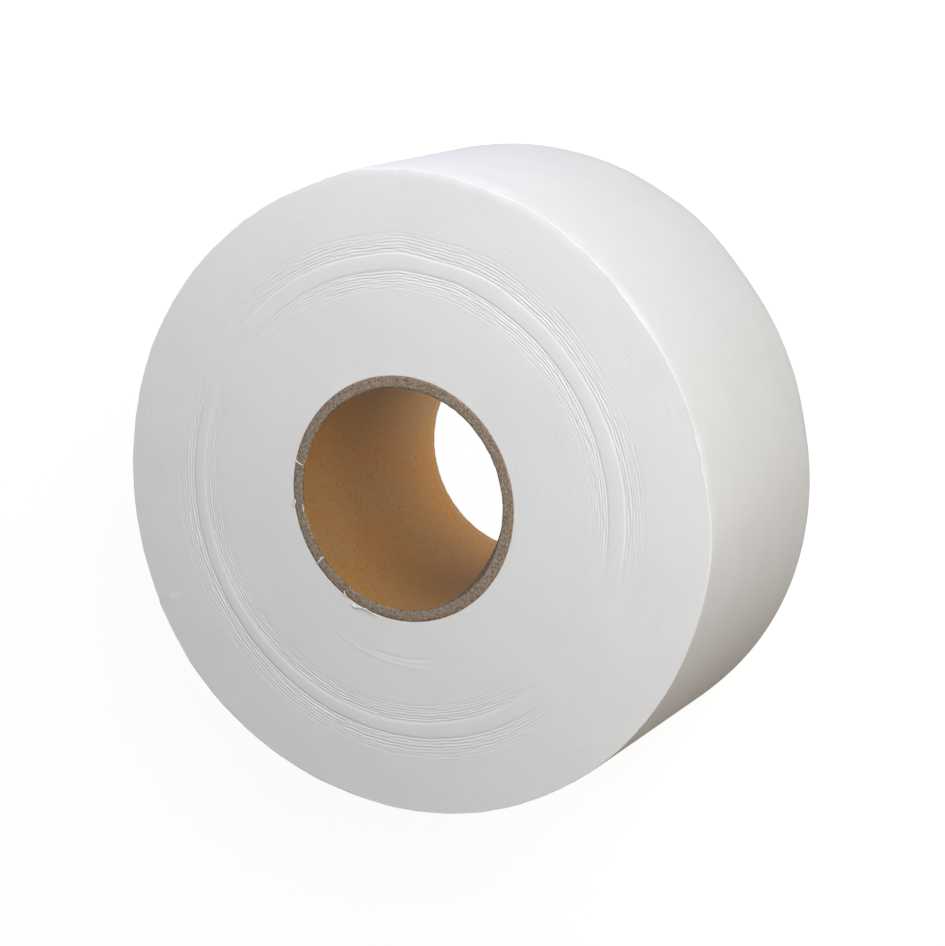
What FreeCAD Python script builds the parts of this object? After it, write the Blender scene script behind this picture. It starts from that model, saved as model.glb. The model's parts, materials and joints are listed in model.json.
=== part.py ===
"""Jumbo toilet paper roll, standing on one end.

A long strip of two-ply tissue is wound on a paperboard core, and the log is then sawn
through, so paper and core end in the same two planes. The strip is one piece, so all its
turns are one solid: its outer surface is a spiral that ends at the loose tail, and rings of
turns that slipped while it was wound show as shallow ripples in both sawn ends.

Frame: the origin is on the core's axis in the lower end's plane, +Z along the axis and up,
and the tail's edge lies in the direction TAIL_ANGLE from +X. Millimetres.
"""

import FreeCAD
import Part
import math
import os

# Whole roll
ROLL_DIAMETER = 220.0
ROLL_WIDTH = 95.0

# Core: a wound and glued paperboard tube
CORE_BORE = 76.0
CORE_WALL = 4.0
CORE_EDGE_BREAK = 0.35

# Wound strip
SHEET_THICKNESS = 0.3
TAIL_ANGLE = 200.0
OUTER_EDGE_ROUND = 1.6
EDGE_ROUND_CHORDS = 2

# Slipped turns: a plain ring between two deep creases, with smaller ripples beyond each
CORE_TO_INNER_CREASE = 34.4
PLAIN_RING_WIDTH = 6.0
CREASE_DEPTH = 0.55
RIPPLES_PER_SIDE = 4
INNER_RIPPLE_PITCH = 0.95
OUTER_RIPPLE_PITCH = 1.05
RIPPLE_FADE = 0.72

roll_radius = ROLL_DIAMETER / 2
bore_radius = CORE_BORE / 2
core_radius = bore_radius + CORE_WALL
up = FreeCAD.Vector(0, 0, 1)
centre = FreeCAD.Vector(0, 0, 0)


def point(radius, height):
    """A point of a section through the axis."""
    return FreeCAD.Vector(radius, 0, height)


def revolved(edges):
    """The closed section, turned once round the axis."""
    return Part.Face(Part.Wire(edges)).revolve(centre, up, 360)


def segments(points):
    """Straight edges through the points, in their order."""
    return [Part.LineSegment(a, b).toShape() for a, b in zip(points, points[1:])]


def ripple_run(crease_radius, pitch):
    """(radius, depth) from a crease, through its fading ripples, to where the end is flat again.

    A positive pitch runs outwards and a negative one inwards.
    """
    run = [(crease_radius - pitch / 2, 0.0)]
    for i in range(RIPPLES_PER_SIDE):
        valley = crease_radius + i * pitch
        run.append((valley, CREASE_DEPTH * RIPPLE_FADE**i))
        run.append((valley + pitch / 2, 0.0))
    return run


def sawn_end():
    """(radius, depth) of one sawn end's ripples, from the axis outwards."""
    inner_crease = core_radius + CORE_TO_INNER_CREASE
    outer_crease = inner_crease + PLAIN_RING_WIDTH
    inwards = ripple_run(inner_crease, -INNER_RIPPLE_PITCH)
    outwards = ripple_run(outer_crease, OUTER_RIPPLE_PITCH)
    return inwards[::-1] + outwards


def rounded_corner():
    """(radius, depth) from a sawn end over its soft outer edge, by a few chords of the round."""
    corner = []
    for i in range(EDGE_ROUND_CHORDS + 1):
        turn = math.radians(90) * i / EDGE_ROUND_CHORDS
        radius = roll_radius - OUTER_EDGE_ROUND * (1 - math.sin(turn))
        corner.append((radius, OUTER_EDGE_ROUND * (1 - math.cos(turn))))
    return corner


def wound_blank():
    """The wound paper as a ring: bore on the core, rippled ends, softened outer corners."""
    half = [(core_radius, 0.0)] + sawn_end() + rounded_corner()
    lower = [point(radius, depth) for radius, depth in half]
    upper = [point(radius, ROLL_WIDTH - depth) for radius, depth in reversed(half)]
    section = lower + upper
    return revolved(segments(section + section[:1]))


def spiral_prism():
    """A full-width prism whose outline is the last turn of the winding.

    Two half circles whose centres lie half a sheet apart make the spiral. Its start lies one
    sheet under its end, and the step between them is the tail's edge.
    """
    shift = SHEET_THICKNESS / 2
    outer_start = point(roll_radius, 0.0)
    outer_top = FreeCAD.Vector(0, roll_radius, 0)
    far_side = point(-roll_radius, 0.0)
    second_radius = roll_radius - shift
    second_centre = point(-shift, 0.0)
    under_bottom = second_centre + FreeCAD.Vector(0, -second_radius, 0)
    under_end = second_centre + point(second_radius, 0.0)
    outline = [
        Part.Arc(outer_start, outer_top, far_side).toShape(),
        Part.Arc(far_side, under_bottom, under_end).toShape(),
        Part.LineSegment(under_end, outer_start).toShape(),
    ]
    prism = Part.Face(Part.Wire(outline)).extrude(up * ROLL_WIDTH)
    prism.rotate(centre, up, TAIL_ANGLE)
    return prism


def paper_roll():
    """All turns of the tissue as one solid."""
    return wound_blank().common(spiral_prism()).removeSplitter()


def core():
    """The paperboard tube, sawn off with the paper, its four edges slightly broken."""
    cut = CORE_EDGE_BREAK
    section = [
        point(bore_radius + cut, 0.0),
        point(core_radius - cut, 0.0),
        point(core_radius, cut),
        point(core_radius, ROLL_WIDTH - cut),
        point(core_radius - cut, ROLL_WIDTH),
        point(bore_radius + cut, ROLL_WIDTH),
        point(bore_radius, ROLL_WIDTH - cut),
        point(bore_radius, cut),
    ]
    return revolved(segments(section + section[:1]))


def main():
    os.makedirs("parts", exist_ok=True)
    for name, shape in {"paper_roll": paper_roll(), "core": core()}.items():
        solid = shape.Solids[0]
        solid.exportStep(f"parts/{name}.step")
        print(name, len(shape.Solids), "solid", round(solid.Volume / 1000, 1), "cm3", solid.isValid())


main()
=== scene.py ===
"""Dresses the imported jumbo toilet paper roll: wound tissue, paperboard core, light and camera.

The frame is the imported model's: metres, the core's axis on Z, and the roll standing on the
floor at z = 0. Angles go round from +X in degrees, and depths are measured down from a sawn end.
"""

import json
import math

import bmesh
import bpy
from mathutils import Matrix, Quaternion, Vector, noise


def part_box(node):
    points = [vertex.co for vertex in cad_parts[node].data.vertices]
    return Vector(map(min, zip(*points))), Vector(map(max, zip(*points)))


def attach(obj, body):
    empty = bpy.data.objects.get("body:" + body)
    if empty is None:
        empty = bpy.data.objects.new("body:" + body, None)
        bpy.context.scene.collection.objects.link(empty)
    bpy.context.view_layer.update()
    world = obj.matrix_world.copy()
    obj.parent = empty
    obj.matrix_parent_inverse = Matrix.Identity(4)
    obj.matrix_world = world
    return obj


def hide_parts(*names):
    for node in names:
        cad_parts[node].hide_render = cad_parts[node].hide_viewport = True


MM = 0.001

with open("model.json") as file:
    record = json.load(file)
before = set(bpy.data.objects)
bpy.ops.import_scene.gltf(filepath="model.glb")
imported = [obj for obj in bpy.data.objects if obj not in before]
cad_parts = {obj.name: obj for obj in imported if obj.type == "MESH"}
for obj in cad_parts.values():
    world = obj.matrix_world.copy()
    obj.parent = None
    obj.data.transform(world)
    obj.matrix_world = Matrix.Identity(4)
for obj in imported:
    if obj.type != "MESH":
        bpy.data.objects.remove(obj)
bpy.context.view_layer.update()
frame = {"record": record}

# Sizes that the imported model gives
paper_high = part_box("paper_roll")[1]
core_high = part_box("core")[1]
mounts = {mount["name"]: mount for mount in frame["record"]["mounts"]}
ROLL_RADIUS = paper_high.x
ROLL_WIDTH = paper_high.z
CORE_RADIUS = core_high.x
BORE_RADIUS = mounts["core_bore"]["dims"]["r_mm"] * MM

# Winding
SHEET = 0.3 * MM
TAIL_ANGLE = 200.0

# Mesh: sections round the axis, and the spacing of points along each section
COLUMNS = 376
UPPER_PITCH = 0.17 * MM
LOWER_PITCH = 0.3 * MM
COARSE_PITCH = 2.6 * MM
SIDE_PITCH = 5.5 * MM
NEAR_EDGE = 13 * MM

# How far each sawn end of the paper lies inside the roll's nominal width
END_RECESS = 0.12 * MM

# Slipped turns in the sawn ends: a bulging ring between two creases, and ripples beyond them
INNER_CREASE = CORE_RADIUS + 34.3 * MM
OUTER_CREASE = INNER_CREASE + 6.1 * MM
CREASE_DEPTH = 0.15 * MM
CREASE_HALF_WIDTH = 0.7 * MM
RING_BULGE = 0.1 * MM
RIPPLES = 7
RIPPLE_DEPTH = 0.25 * MM
RIPPLE_FADE = 0.82
INNER_PITCH = 0.95 * MM
OUTER_PITCH = 1.05 * MM
BAND_LOW = INNER_CREASE - 7.0 * MM
BAND_HIGH = OUTER_CREASE + 7.8 * MM
# Where the creases die out: (angle, half width, softness)
QUIET_PLACES = [(-38.0, 14.0, 14.0), (142.0, 5.0, 5.0)]
# How far each crease strays from its circle, in millimetres at angles round the roll
INNER_SHIFTS = [(0, -0.6), (45, -0.6), (60, -0.2), (68, 0.4), (78, 0.3), (84, 0.7), (92, 0.2)]
INNER_SHIFTS += [(134, -0.4), (155, 1.1), (200, 1.1), (250, 1.0), (290, 0.4)]
OUTER_SHIFTS = [(0, -0.3), (30, -0.9), (45, -0.6), (62, 0.3), (76, -0.2), (84, 0.8), (94, 0.0)]
OUTER_SHIFTS += [(134, -0.2), (155, 0.0), (200, 0.0), (250, 0.2), (290, 0.5)]

# Faint single turns nearer the core: (angle, half its length in degrees, radius, slope, depth)
FAINT_TURNS = [
    (-97, 14, 55.0 * MM, 0.03 * MM, 0.1 * MM),
    (-104, 22, 57.0 * MM, 0.08 * MM, -0.08 * MM),
]
FAINT_HALF_WIDTH = 0.7 * MM
FAINT_LOW = 53.0 * MM
FAINT_HIGH = 59.4 * MM

# Outer edge of each end: a small soft round, and a shoulder where the last turns were pushed
# in. The lists give millimetres at angles round the roll.
EDGE_SIZE = 0.12 * MM
EDGE_STEPS = 4
SHOULDERS = [(6, 0.45), (14, 0.2), (23, 0.15), (33, 0.45), (42, 0.25), (50, 0.4), (60, 0.65)]
SHOULDERS += [(75, 0.7), (92, 0.5), (106, 0.2), (352, 0.1)]
SHOULDER_HEIGHTS = [(6, 3), (33, 3), (45, 4), (60, 7), (92, 7), (110, 4), (352, 3)]
FACE_FOLLOWS_EDGE_FROM = ROLL_RADIUS - 16 * MM
# How far the upper end's outermost turns are pressed down beside the shoulder, and how far in
EDGE_DROPS = [(36, 0.0), (54, 0.27), (92, 0.27), (110, 0.0)]
DROP_WIDTH = 3.0 * MM
LAST_RING = ROLL_RADIUS - DROP_WIDTH

# How the roll is out of round, in millimetres at angles round each end
LOWER_SHAPE = [(10, -0.4), (34, -0.5), (52, 0.9), (67, 1.7), (95, 2.2), (125, 0.5), (165, 0.0)]
LOWER_SHAPE += [(290, 0.2), (330, 1.1)]
UPPER_SHAPE = [(6, 0.6), (21, 0.3), (33, -0.4), (45, 0.0), (60, 0.6), (75, 1.0), (92, 1.05)]
UPPER_SHAPE += [(105, -0.8), (125, -1.3), (165, -1.4), (215, -0.1), (255, -1.1), (290, -0.4)]
UPPER_SHAPE += [(315, 0.5), (330, 1.0), (352, 1.8)]

# Core
CORE_COLUMNS = 320
CORE_DENT_ANGLE = -42.0
CORE_DENT_SPREAD = 22.0
CORE_DENT = 1.3 * MM
# Colours of the board's plies across the cut, at fractions of the wall from the bore outwards
PLY_COLOURS = [
    (0.08, (0.43, 0.35, 0.27)),
    (0.5, (0.44, 0.36, 0.27)),
    (0.62, (0.44, 0.33, 0.245)),
    (0.9, (0.43, 0.315, 0.235)),
]

# Wisps of tissue left on the core's rim by the saw: (radius in mm, angle) along each, and its
# half thickness in millimetres
WISPS = [
    ([(42.1, 160.4), (41.2, 161.4), (40.3, 161.9), (38.6, 162.0)], 0.14),
    ([(41.6, -147.6), (40.4, -148.0), (39.2, -148.4), (37.9, -148.1)], 0.16),
    ([(40.5, -128.7), (41.2, -128.2), (42.0, -126.6)], 0.16),
    ([(42.9, -122.6), (43.3, -120.6), (42.6, -118.6), (41.8, -115.8), (42.3, -108.4)], 0.19),
    ([(41.8, 179.7), (41.4, -178.9), (42.2, -176.5)], 0.16),
    ([(38.6, -177.6), (38.7, -175.4), (38.8, -173.6)], 0.12),
]

# View
VIEW_TARGET = Vector((28.0 * MM, 9.2 * MM, ROLL_WIDTH))
VIEW_AZIMUTH = 109.74
VIEW_ELEVATION = 60.24
VIEW_DISTANCE = 0.8164
VIEW_ROLL = 112.46
LENS_MM = 94.65


def smooth(low, high, value):
    """0 below low, 1 above high, and a smooth rise between them."""
    t = min(max((value - low) / (high - low), 0.0), 1.0)
    return t * t * (3 - 2 * t)


def bell(offset, spread):
    """1 at no offset, falling to 0 a few spreads away."""
    return math.exp(-((offset / spread) ** 2))


def apart(angle, other):
    """Degrees from other to angle, from -180 to 180."""
    return (angle - other + 180) % 360 - 180


def rough(angle, place, scale, seed):
    """Noise from about -1 to 1 that closes on itself round the axis."""
    a = math.radians(angle)
    return noise.noise(Vector((math.cos(a) * scale, math.sin(a) * scale, place + seed)))


def round_the_roll(angle, values):
    """A value in metres eased between (angle, millimetres) pairs, which go once round."""
    turn = (angle - values[0][0]) % 360 + values[0][0]
    pairs = values + [(values[0][0] + 360, values[0][1])]
    for (start, first), (stop, second) in zip(pairs, pairs[1:]):
        if turn <= stop:
            return (first + (second - first) * smooth(start, stop, turn)) * MM


def crease_strength(angle):
    """How clearly the slipped turns show at this angle, from 0 to 1."""
    strength = 1.0
    for middle, half, softness in QUIET_PLACES:
        strength *= smooth(half, half + softness, abs(apart(angle, middle)))
    return strength


def groove(offset, half_width):
    """A rounded groove: 1 at its middle and 0 from half_width on."""
    x = min(abs(offset) / half_width, 1.0)
    return 0.5 + 0.5 * math.cos(math.pi * x)


def slipped_turns(radius, angle):
    """Depth of the creases and ripples in a sawn end."""
    strength = crease_strength(angle)
    if strength == 0 or not BAND_LOW < radius < BAND_HIGH:
        return 0.0
    shared = 0.2 * MM * rough(angle, 0.0, 16.0, 8.0)
    inner = INNER_CREASE + round_the_roll(angle, INNER_SHIFTS) + shared
    outer = OUTER_CREASE + round_the_roll(angle, OUTER_SHIFTS) + shared
    depth = 0.0
    for seed, crease, pitch in ((66, inner, -INNER_PITCH), (72, outer, OUTER_PITCH)):
        depth += CREASE_DEPTH * groove(radius - crease, CREASE_HALF_WIDTH)
        for i in range(1, RIPPLES):
            liveliness = 0.8 + 0.6 * rough(angle, i * 3.1, 7.0, seed)
            broken = 0.8 * rough(angle, i * 5.3, 38.0, seed)
            size = RIPPLE_DEPTH * RIPPLE_FADE**i * max(0.0, liveliness + broken)
            waver = 0.4 * MM * rough(angle, i * 1.7, 22.0, seed)
            depth += size * groove(radius - crease - i * pitch - waver, abs(pitch) / 2)
    across = (2 * radius - inner - outer) / (outer - inner)
    if abs(across) < 1:
        depth -= RING_BULGE * (1 - across**2)
    return depth * strength


def faint_turns(radius, angle):
    """Depth of the few single turns that stand slightly in or out nearer the core."""
    depth = 0.0
    for middle, half, place, slope, size in FAINT_TURNS:
        along = apart(angle, middle)
        strength = 1 - smooth(0.6 * half, half, abs(along))
        if strength > 0:
            depth += size * strength * groove(radius - place - slope * along, FAINT_HALF_WIDTH)
    return depth


def end_depth(radius, angle, seed):
    """Depth of a sawn end below its plane, apart from its rounded outer edge."""
    a = math.radians(angle)
    place = Vector((radius * math.cos(a), radius * math.sin(a), seed))
    swell = 0.16 * MM * noise.noise(place * 28) + 0.03 * MM * noise.noise(place * 160)
    return slipped_turns(radius, angle) + faint_turns(radius, angle) + END_RECESS + swell


def side_offset(angle, height):
    """How far the outer surface stands from a true cylinder."""
    since_tail = (angle - TAIL_ANGLE) % 360
    up = height / ROLL_WIDTH
    low = round_the_roll(angle, LOWER_SHAPE)
    high = round_the_roll(angle, UPPER_SHAPE)
    from_end = min(height, ROLL_WIDTH - height)
    reach = round_the_roll(angle, SHOULDER_HEIGHTS)
    ragged = 0.8 * rough(angle, 4.0, 11.0, 9.0) + 1.3 * rough(angle, 4.0, 27.0, 9.0)
    pushed = round_the_roll(angle, SHOULDERS) * (1 + up * ragged)
    shoulder = pushed * max(0.0, 1 - from_end / reach)
    dimples = 0.12 * MM * rough(angle, up * 2.0, 3.0, 5.0)
    return low + (high - low) * up - SHEET * since_tail / 360 - shoulder + dimples


def edge_round(angle, seed):
    """Size of the outer edge's rounding, which is a little ragged."""
    uneven = 0.4 * rough(angle, 0.0, 9.0, seed) + 0.5 * rough(angle, 0.0, 30.0, seed)
    return EDGE_SIZE * (1.0 + uneven)


def steps(start, stop, pitch):
    """Evenly spaced values from start up to, but not at, stop, about pitch apart."""
    count = max(1, round((stop - start) / pitch))
    return [start + (stop - start) * i / count for i in range(count)]


def end_radii(fine_pitch, faint_pitch):
    """Radii of the rings of points across a sawn end, close together where it is rippled."""
    inside = steps(CORE_RADIUS, CORE_RADIUS + 0.5 * MM, 0.25 * MM)
    inside += steps(CORE_RADIUS + 0.5 * MM, FAINT_LOW, COARSE_PITCH)
    inside += steps(FAINT_LOW, FAINT_HIGH, faint_pitch)
    inside += steps(FAINT_HIGH, BAND_LOW, COARSE_PITCH)
    ripples_in = steps(BAND_LOW, INNER_CREASE + CREASE_HALF_WIDTH, fine_pitch)
    ring = steps(INNER_CREASE + CREASE_HALF_WIDTH, OUTER_CREASE - CREASE_HALF_WIDTH, 0.45 * MM)
    ripples_out = steps(OUTER_CREASE - CREASE_HALF_WIDTH, BAND_HIGH, fine_pitch)
    outside = steps(BAND_HIGH, LAST_RING, 2.2 * MM)
    edge = [LAST_RING + d * MM for d in (0.0, 0.8, 1.5, 2.1, 2.6)]
    return inside + ripples_in + ring + ripples_out + outside + edge


# Rings of points across the two sawn ends
UPPER_RINGS = end_radii(UPPER_PITCH, 0.4 * MM)
LOWER_RINGS = end_radii(LOWER_PITCH, COARSE_PITCH)


def edge_drop(radius, angle, side):
    """How far the outermost turns are pressed down here; side is 1 at the upper end."""
    if side < 0:
        return 0.0
    t = min(max(1 - (ROLL_RADIUS - radius) / DROP_WIDTH, 0.0), 1.0)
    return round_the_roll(angle, EDGE_DROPS) * (1 + 0.9 * rough(angle, 4.0, 24.0, 9.0)) * t * t


def end_point(radius, angle, height, side, seed):
    """A point of a sawn end. The outer rings follow the roll where it is out of round."""
    follow = smooth(FACE_FOLLOWS_EDGE_FROM, LAST_RING, radius)
    shift = side_offset(angle, height)
    depth = end_depth(radius, angle, seed) + edge_drop(radius, angle, side)
    return radius + shift * follow, height - side * depth


def edge_point(step, angle, height, side, seed):
    """A point of the rounded outer edge; step runs from the end's last ring to the side."""
    turn = math.radians(90) * step / EDGE_STEPS
    size = edge_round(angle, seed)
    flat_end = END_RECESS + edge_drop(ROLL_RADIUS, angle, side)
    outer = ROLL_RADIUS + side_offset(angle, height)
    radius = outer - size * (1 - math.sin(turn))
    depth = flat_end + size * (1 - math.cos(turn))
    return radius, height - side * depth


def column(angle):
    """(radius, height) of the winding's section at this angle, from the bore's upper edge round."""
    top, bottom = 1.0, 6.0
    section = [end_point(r, angle, ROLL_WIDTH, 1, top) for r in UPPER_RINGS]
    section += [edge_point(i, angle, ROLL_WIDTH, 1, top) for i in range(EDGE_STEPS)]
    pressed = edge_drop(ROLL_RADIUS, angle, 1)
    side_top = ROLL_WIDTH - END_RECESS - pressed - edge_round(angle, top)
    side_bottom = END_RECESS + edge_round(angle, bottom)
    from_ends = [0.0, 0.4, 1.2, 2.2, 3.2, 4.4, 5.8, 7.2, 9.0]
    heights = [side_top - d * MM for d in from_ends]
    heights += steps(side_top - NEAR_EDGE, side_bottom + NEAR_EDGE, SIDE_PITCH)
    heights += [side_bottom + NEAR_EDGE] + [side_bottom + d * MM for d in reversed(from_ends)]
    section += [(ROLL_RADIUS + side_offset(angle, height), height) for height in heights]
    section += [edge_point(i, angle, 0.0, -1, bottom) for i in reversed(range(EDGE_STEPS))]
    section += [end_point(r, angle, 0.0, -1, bottom) for r in reversed(LOWER_RINGS)]
    return section


def mesh_object(name, points, faces, materials, material_of_face):
    """A smooth-shaded mesh object with its faces outwards and its coincident points joined."""
    mesh = bpy.data.meshes.new(name)
    mesh.from_pydata(points, [], faces)
    for material in materials:
        mesh.materials.append(material)
    for polygon, index in zip(mesh.polygons, material_of_face):
        polygon.material_index = index
        polygon.use_smooth = True
    bm = bmesh.new()
    bm.from_mesh(mesh)
    bmesh.ops.remove_doubles(bm, verts=bm.verts, dist=0.001 * MM)
    bmesh.ops.recalc_face_normals(bm, faces=bm.faces)
    bm.to_mesh(mesh)
    bm.free()
    made = bpy.data.objects.new(name, mesh)
    bpy.context.scene.collection.objects.link(made)
    return made


def turned(angles, section_at, face_material, closed):
    """Points, quads and material numbers of sections set round the axis.

    A closed turning joins its last section to its first.
    """
    points, faces, numbers = [], [], []
    for angle in angles:
        a = math.radians(angle)
        section = section_at(angle)
        points += [(r * math.cos(a), r * math.sin(a), z) for r, z in section]
    rows = len(section)
    for c in range(len(angles) if closed else len(angles) - 1):
        here, there = c * rows, (c + 1) % len(angles) * rows
        for i in range(rows):
            j = (i + 1) % rows
            faces.append((here + i, here + j, there + j, there + i))
            numbers.append(face_material(i, rows))
    return points, faces, numbers


def node(tree, kind, inputs=None, **settings):
    """A new shader node with its settings made and its inputs set or linked."""
    made = tree.nodes.new(kind)
    for name, value in settings.items():
        setattr(made, name, value)
    for socket, value in (inputs or {}).items():
        if isinstance(value, bpy.types.NodeSocket):
            tree.links.new(value, made.inputs[socket])
        else:
            made.inputs[socket].default_value = value
    return made


def new_material(name, roughness):
    """A material with its tree and shader."""
    material = bpy.data.materials.new(name)
    material.use_nodes = True
    shader = material.node_tree.nodes["Principled BSDF"]
    shader.inputs["Roughness"].default_value = roughness
    shader.inputs["Specular IOR Level"].default_value = 0.2
    return material, material.node_tree, shader


def polar(tree, round_scale, out_scale, up_scale):
    """Coordinates that close round the axis: noise on them runs in rings or up and down."""
    place = node(tree, "ShaderNodeTexCoord").outputs["Object"]
    split = node(tree, "ShaderNodeSeparateXYZ", {0: place})
    flat = node(tree, "ShaderNodeCombineXYZ", {0: split.outputs[0], 1: split.outputs[1]})
    length = node(tree, "ShaderNodeVectorMath", {0: flat.outputs[0]}, operation="LENGTH")
    way = node(tree, "ShaderNodeVectorMath", {0: flat.outputs[0]}, operation="NORMALIZE")
    around = node(
        tree, "ShaderNodeVectorMath", {0: way.outputs[0], "Scale": round_scale}, operation="SCALE"
    )
    out = node(
        tree, "ShaderNodeMath", {0: length.outputs["Value"], 1: out_scale}, operation="MULTIPLY"
    )
    both = node(
        tree,
        "ShaderNodeMath",
        {0: split.outputs[2], 1: up_scale, 2: out.outputs[0]},
        operation="MULTIPLY_ADD",
    )
    lift = node(tree, "ShaderNodeCombineXYZ", {2: both.outputs[0]})
    total = node(
        tree, "ShaderNodeVectorMath", {0: around.outputs[0], 1: lift.outputs[0]}, operation="ADD"
    )
    return total.outputs[0], length.outputs["Value"], place


def noise_at(tree, vector, scale, detail=3.0):
    """The value of a noise texture on these coordinates."""
    made = node(tree, "ShaderNodeTexNoise", {"Vector": vector, "Scale": scale, "Detail": detail})
    return made.outputs["Fac"]


def ramp(tree, value, low, high, low_colour, high_colour):
    """A colour that runs between two as the value goes from low to high."""
    made = node(tree, "ShaderNodeValToRGB", {"Fac": value})
    first, last = made.color_ramp.elements
    first.position, first.color = low, (*low_colour, 1)
    last.position, last.color = high, (*high_colour, 1)
    return made.outputs["Color"]


def multiplied(tree, colour, other):
    """The product of two colours."""
    made = node(
        tree, "ShaderNodeMix", {"Factor": 1.0}, data_type="RGBA", blend_type="MULTIPLY"
    )
    tree.links.new(colour, made.inputs[6])
    tree.links.new(other, made.inputs[7])
    return made.outputs[2]


def bump(tree, height, distance, under=None):
    """The normal of a surface raised by up to distance, on top of an earlier bump."""
    inputs = {"Height": height, "Distance": distance, "Strength": 1.0}
    if under is not None:
        inputs["Normal"] = under
    return node(tree, "ShaderNodeBump", inputs).outputs["Normal"]


def tissue(name, round_scale, out_scale, up_scale, line_depth, line_shade):
    """White two-ply tissue: fine lines one way, soft mottling, a felted grain and short creases."""
    material, tree, shader = new_material(name, 0.95)
    lines_at, _, place = polar(tree, round_scale, out_scale, up_scale)
    lines = noise_at(tree, lines_at, 1.0, 4.0)
    cloud = noise_at(tree, place, 45.0)
    grain = noise_at(tree, place, 1400.0, 2.0)
    dents = noise_at(tree, polar(tree, 13.0, 1300.0, 1300.0)[0], 1.0, 1.0)
    white = ramp(tree, cloud, 0.3, 0.7, (0.85, 0.85, 0.85), (0.875, 0.875, 0.873))
    streaks = ramp(tree, lines, 0.3, 0.7, (line_shade, line_shade, line_shade), (1.0, 1.0, 1.0))
    tree.links.new(multiplied(tree, white, streaks), shader.inputs["Base Color"])
    felt = bump(tree, grain, 0.045 * MM)
    creases = ramp(tree, dents, 0.72, 0.8, (0, 0, 0), (1, 1, 1))
    dented = bump(tree, creases, 0.08 * MM, felt)
    tree.links.new(bump(tree, lines, line_depth, dented), shader.inputs["Normal"])
    shader.inputs["Sheen Weight"].default_value = 0.1
    shader.inputs["Sheen Roughness"].default_value = 0.6
    return material


def liner():
    """Smooth kraft liner: an even brown with fine fibres, faint clouds and small dark specks."""
    material, tree, shader = new_material("kraft_liner", 0.8)
    clouds_at, _, place = polar(tree, 1.6, 0.0, 22.0)
    cloud = noise_at(tree, clouds_at, 1.0, 3.0)
    fibres = noise_at(tree, place, 850.0, 4.0)
    specks = noise_at(tree, place, 700.0, 1.0)
    colour = ramp(tree, cloud, 0.35, 0.65, (0.345, 0.163, 0.044), (0.305, 0.172, 0.063))
    colour = multiplied(tree, colour, ramp(tree, fibres, 0.32, 0.68, (0.84, 0.83, 0.82), (1, 1, 1)))
    colour = multiplied(tree, colour, ramp(tree, specks, 0.24, 0.3, (0.6, 0.55, 0.5), (1, 1, 1)))
    tree.links.new(colour, shader.inputs["Base Color"])
    tree.links.new(bump(tree, fibres, 0.05 * MM), shader.inputs["Normal"])
    return material


def sawn_board():
    """Recycled board where it was sawn: grey inner plies, a redder outer one and torn fibres."""
    material, tree, shader = new_material("sawn_board", 0.9)
    dashes_at, length, place = polar(tree, 36.0, 2100.0, 0.0)
    dashes = noise_at(tree, dashes_at, 1.0, 3.0)
    grain = noise_at(tree, place, 1700.0, 3.0)
    cloud = noise_at(tree, place, 70.0, 3.0)
    waver = node(
        tree, "ShaderNodeMath", {0: cloud, 1: 1.6 * MM, 2: length}, operation="MULTIPLY_ADD"
    )
    wall = {"From Min": BORE_RADIUS + 0.8 * MM, "From Max": CORE_RADIUS + 0.8 * MM}
    across = node(tree, "ShaderNodeMapRange", {"Value": waver.outputs[0], **wall})
    plies = node(tree, "ShaderNodeValToRGB", {"Fac": across.outputs["Result"]})
    first, last = plies.color_ramp.elements
    first.position, first.color = 0.0, (0.22, 0.165, 0.12, 1)
    last.position, last.color = 1.0, (0.45, 0.32, 0.21, 1)
    for position, colour in PLY_COLOURS:
        plies.color_ramp.elements.new(position).color = (*colour, 1)
    torn_shade = ramp(tree, dashes, 0.36, 0.6, (0.5, 0.5, 0.52), (1, 1, 1))
    grain_shade = ramp(tree, grain, 0.3, 0.65, (0.66, 0.65, 0.65), (1, 1, 1))
    colour = multiplied(tree, plies.outputs["Color"], torn_shade)
    colour = multiplied(tree, colour, grain_shade)
    tree.links.new(colour, shader.inputs["Base Color"])
    torn = bump(tree, grain, 0.1 * MM)
    tree.links.new(bump(tree, dashes, 0.12 * MM, torn), shader.inputs["Normal"])
    return material


def wound_tissue():
    """All turns of the strip as one closed mesh, with the last turn's step at the tail."""
    ends = tissue("tissue_ends", 5.0, 2600.0, 0.0, 0.022 * MM, 0.97)
    outside = tissue("tissue_outside", 150.0, 0.0, 40.0, 0.012 * MM, 0.985)

    def face_material(i, rows):
        return 1 if len(UPPER_RINGS) <= i < rows - len(LOWER_RINGS) else 0

    angles = [TAIL_ANGLE + 360 * i / COLUMNS for i in range(COLUMNS)]
    angles.append(TAIL_ANGLE + 360 - 0.001)
    shape = turned(angles, column, face_material, closed=True)
    made = mesh_object("wound_tissue", *shape[:2], [ends, outside], shape[2])
    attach(made, "root")
    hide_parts("paper_roll")
    return made


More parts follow.
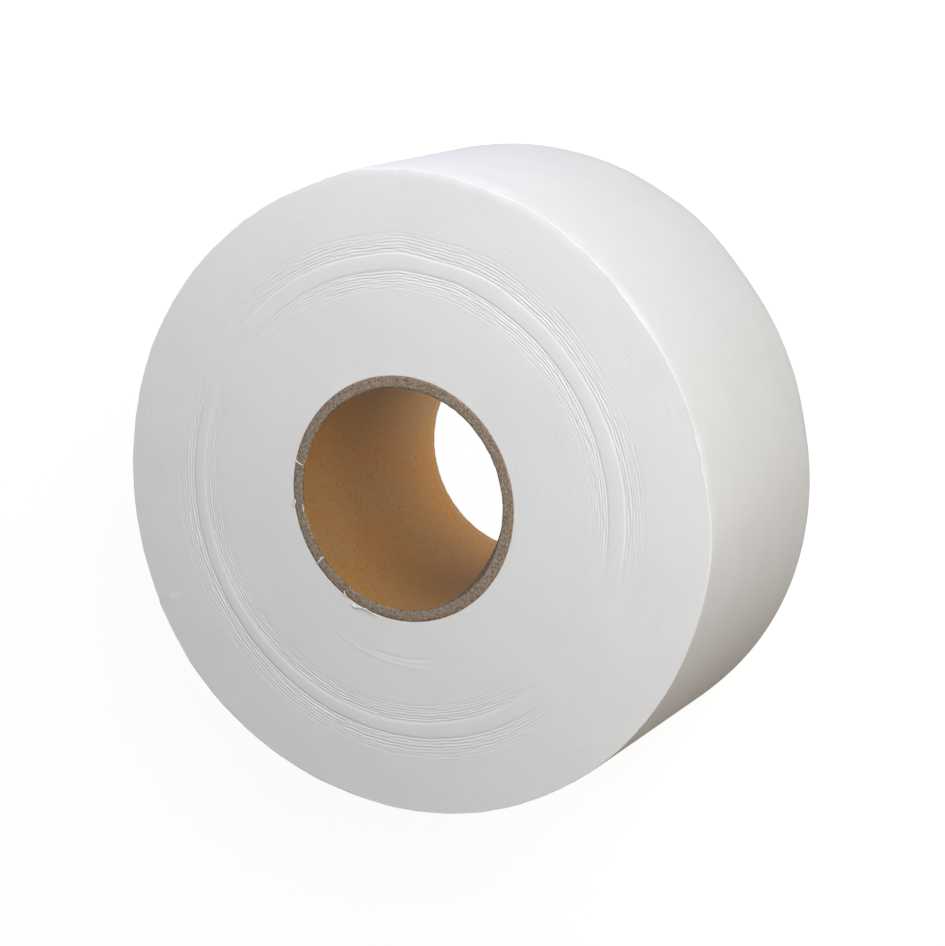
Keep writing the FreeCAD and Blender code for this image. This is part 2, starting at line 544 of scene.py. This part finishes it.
def core_section(angle):
    """(radius, height) of the tube's section at this angle, from the bore's upper edge round.

    The upper rim stands a little proud of the paper, and the lower one ends a little short.
    """
    rim_steps, wall_steps, edge = 10, 24, 0.3 * MM
    dent = CORE_DENT * bell(apart(angle, CORE_DENT_ANGLE), CORE_DENT_SPREAD)
    section = []
    for up, height, proud in ((1, ROLL_WIDTH, 0.12 * MM), (-1, 0.0, -0.1 * MM)):
        rim = []
        for i in range(rim_steps + 1):
            t = i / rim_steps
            frayed = 0.14 * rough(angle, 0.0, 14.0, 7.0 + up) + 0.1 * rough(angle, 0.0, 36.0, 9.0)
            inner = BORE_RADIUS + frayed * MM - (dent if up > 0 else 0)
            radius = inner + (CORE_RADIUS - inner) * t
            fibres = rough(angle, t * 3, 16.0, 2.0 + up)
            sag = edge * (1 - min(1.0, 8 * min(t, 1 - t)))
            rim.append((radius, height + up * (proud - sag - 0.12 * MM * abs(fibres))))
        section += rim if up > 0 else rim[::-1]
    for i in range(1, wall_steps):
        height = ROLL_WIDTH * i / wall_steps
        near_top = bell(ROLL_WIDTH - height, 4 * MM)
        wave = 0.08 * MM * rough(angle, height * 30, 3.0, 4.0)
        section.append((BORE_RADIUS + wave - dent * near_top, height))
    return section


def core_tube():
    """The sawn paperboard tube: kraft liner inside and grey-brown board where it is cut."""
    rim_rows = 11

    def face_material(i, rows):
        return 1 if i < 2 * rim_rows - 1 else 0

    angles = [360 * i / CORE_COLUMNS for i in range(CORE_COLUMNS)]
    shape = turned(angles, core_section, face_material, closed=True)
    made = mesh_object("core_tube", *shape[:2], [liner(), sawn_board()], shape[2])
    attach(made, "root")
    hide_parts("core")
    return made


def wisp(number, places, half_thickness, material):
    """A thin, twisted wisp of tissue lying on the core's rim through these places."""
    sides = 8
    lift = ROLL_WIDTH + (0.15 + 0.5 * half_thickness) * MM
    knots = []
    for r, angle in places:
        a = math.radians(angle)
        knots.append(Vector((r * MM * math.cos(a), r * MM * math.sin(a), lift)))
    line = []
    for start, stop in zip(knots, knots[1:]):
        for i in range(6):
            point = start.lerp(stop, i / 6)
            sway = noise.noise_vector(point * 900) * 0.18 * MM
            line.append(point + Vector((sway.x, sway.y, abs(sway.z))))
    line.append(knots[-1])
    points, faces = [], []
    for i, point in enumerate(line):
        t = i / (len(line) - 1)
        way = (line[min(i + 1, len(line) - 1)] - line[max(i - 1, 0)]).normalized()
        across = way.cross(Vector((0, 0, 1))).normalized()
        over = across.cross(way)
        fat = half_thickness * MM * (0.25 + math.sin(math.pi * min(max(t, 0.04), 0.96)) ** 0.5)
        for s in range(sides):
            turn = 2 * math.pi * s / sides
            uneven = 1 + 0.5 * noise.noise(Vector((s * 1.3, i * 0.7, number)))
            outwards = across * math.cos(turn) * 1.4 + over * math.sin(turn) * 0.7
            points.append(point + outwards * fat * uneven)
    for i in range(len(line) - 1):
        for s in range(sides):
            t = (s + 1) % sides
            faces.append((i * sides + s, i * sides + t, (i + 1) * sides + t, (i + 1) * sides + s))
    faces.append(tuple(range(sides)))
    faces.append(tuple(len(points) - sides + s for s in range(sides)))
    made = mesh_object(f"wisp_{number}", points, faces, [material], [0] * len(faces))
    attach(made, "root")


def seen_rays(tree):
    """1 for what the camera sees, also in a mirror or through glass, and 0 for other rays."""
    rays = node(tree, "ShaderNodeLightPath")
    seen = rays.outputs["Is Camera Ray"]
    for name in ("Is Glossy Ray", "Is Transmission Ray"):
        either = node(
            tree, "ShaderNodeMath", {0: seen, 1: rays.outputs[name]}, operation="MAXIMUM"
        )
        seen = either.outputs[0]
    return seen


def floor():
    """A pale floor that looks white to the camera and still takes the roll's shadow."""
    mesh = bpy.data.meshes.new("floor")
    reach = 6.0
    corners = [(-reach, -reach, 0), (reach, -reach, 0), (reach, reach, 0), (-reach, reach, 0)]
    mesh.from_pydata(corners, [], [(0, 1, 2, 3)])
    made = bpy.data.objects.new("floor", mesh)
    bpy.context.scene.collection.objects.link(made)
    material = bpy.data.materials.new("floor_white")
    material.use_nodes = True
    tree = material.node_tree
    tree.nodes.clear()
    pale = node(tree, "ShaderNodeBsdfDiffuse", {"Color": (0.155, 0.14, 0.12, 1)})
    shade = node(tree, "ShaderNodeBsdfDiffuse", {"Color": (0.25, 0.25, 0.25, 1)})
    glow = node(tree, "ShaderNodeEmission", {"Color": (1, 1, 1, 1), "Strength": 0.87})
    white = node(tree, "ShaderNodeAddShader", {0: shade.outputs[0], 1: glow.outputs[0]})
    seen = seen_rays(tree)
    mixed = node(
        tree, "ShaderNodeMixShader", {0: seen, 1: pale.outputs[0], 2: white.outputs[0]}
    )
    node(tree, "ShaderNodeOutputMaterial", {"Surface": mixed.outputs[0]})
    mesh.materials.append(material)
    # The card in the bore glows and lights the core's inside, though it is no lamp.
    bore_glow_card()


def bore_glow_card():
    """A glowing card on the floor in the bore: white to the camera like the pale surroundings, and
    brighter to other rays, so it lights the core's inside.
    """
    bm = bmesh.new()
    bmesh.ops.create_circle(bm, cap_ends=True, segments=96, radius=BORE_RADIUS - 0.5 * MM)
    mesh = bpy.data.meshes.new("bore_glow_card")
    bm.to_mesh(mesh)
    bm.free()
    made = bpy.data.objects.new("bore_glow_card", mesh)
    made.location.z = 0.2 * MM
    bpy.context.scene.collection.objects.link(made)
    material = bpy.data.materials.new("card_glow")
    material.use_nodes = True
    tree = material.node_tree
    tree.nodes.clear()
    rays = node(tree, "ShaderNodeLightPath")
    # Painted light: to every ray but the camera's the card glows at 2.3 and lights the core's
    # inside like a hidden lamp.
    fill = node(tree, "ShaderNodeEmission", {"Color": (0.96, 0.98, 0.98, 1), "Strength": 2.3})
    glow = node(tree, "ShaderNodeEmission", {"Color": (1, 1, 1, 1), "Strength": 1.0})
    seen = {0: rays.outputs["Is Camera Ray"], 1: fill.outputs[0], 2: glow.outputs[0]}
    mixed = node(tree, "ShaderNodeMixShader", seen)
    node(tree, "ShaderNodeOutputMaterial", {"Surface": mixed.outputs[0]})
    mesh.materials.append(material)
    return made


def world_light():
    """An even pale light from all round, which looks white to the camera."""
    world = bpy.data.worlds.new("studio")
    bpy.context.scene.world = world
    world.use_nodes = True
    tree = world.node_tree
    tree.nodes.clear()
    seen = seen_rays(tree)
    ambient = node(tree, "ShaderNodeBackground", {"Color": (1.0, 0.985, 0.8, 1), "Strength": 0.178})
    white = node(tree, "ShaderNodeBackground", {"Color": (1, 1, 1, 1), "Strength": 1.0})
    mixed = node(
        tree, "ShaderNodeMixShader", {0: seen, 1: ambient.outputs[0], 2: white.outputs[0]}
    )
    node(tree, "ShaderNodeOutputWorld", {"Surface": mixed.outputs[0]})


def soft_box(name, azimuth, elevation, distance, size, power, colour, height=None):
    """An area lamp aimed at the roll's middle, placed by its direction from there."""
    lamp = bpy.data.lights.new(name, "AREA")
    lamp.shape = "RECTANGLE"
    lamp.size = size
    lamp.size_y = height or size
    lamp.energy = power
    lamp.color = colour
    made = bpy.data.objects.new(name, lamp)
    a, e = math.radians(azimuth), math.radians(elevation)
    way = Vector((math.cos(a) * math.cos(e), math.sin(a) * math.cos(e), math.sin(e)))
    made.location = Vector((0, 0, ROLL_WIDTH / 2)) + way * distance
    made.rotation_mode = "QUATERNION"
    made.rotation_quaternion = way.to_track_quat("Z", "Y")
    bpy.context.scene.collection.objects.link(made)


def lights():
    """A low box at the picture's top, a higher one at its right, and three fainter ones.

    One is overhead, one warm and low, and one, thin and as low as the roll, lights its hidden
    side.
    """
    world_light()
    soft_box("top_box", 110, 13.5, 0.4, 0.32, 0.88, (0.83, 0.85, 1.0))
    soft_box("right_box", 28.7, 36.8, 0.68, 0.54, 4.1, (0.99, 0.99, 1.0))
    soft_box("overhead_box", 0, 84, 1.2, 0.6, 0.75, (0.63, 0.66, 1.0))
    soft_box("back_box", -150, 0, 0.8, 0.4, 2.6, (1.0, 1.0, 1.0), 0.09)
    soft_box("warm_box", -60, 8, 0.8, 0.5, 0.34, (1.0, 0.4, 0.0))


def camera():
    """The photograph's view: the camera looks down on the upper end and is rolled."""
    data = bpy.data.cameras.new("camera")
    data.lens = LENS_MM
    data.sensor_width = 36
    data.clip_start = 0.01
    made = bpy.data.objects.new("camera", data)
    a, e = math.radians(VIEW_AZIMUTH), math.radians(VIEW_ELEVATION)
    back = Vector((math.sin(a) * math.cos(e), -math.cos(a) * math.cos(e), math.sin(e)))
    made.location = VIEW_TARGET + back * VIEW_DISTANCE
    made.rotation_mode = "QUATERNION"
    level = (-back).to_track_quat("-Z", "Y")
    made.rotation_quaternion = level @ Quaternion((0, 0, 1), -math.radians(VIEW_ROLL))
    bpy.context.scene.collection.objects.link(made)
    bpy.context.scene.camera = made


paper = wound_tissue()
core_tube()
for number, (places, half_thickness) in enumerate(WISPS, 1):
    wisp(number, places, half_thickness, paper.data.materials[0])
floor()
lights()
camera()
bpy.context.scene.view_settings.view_transform = "Standard"
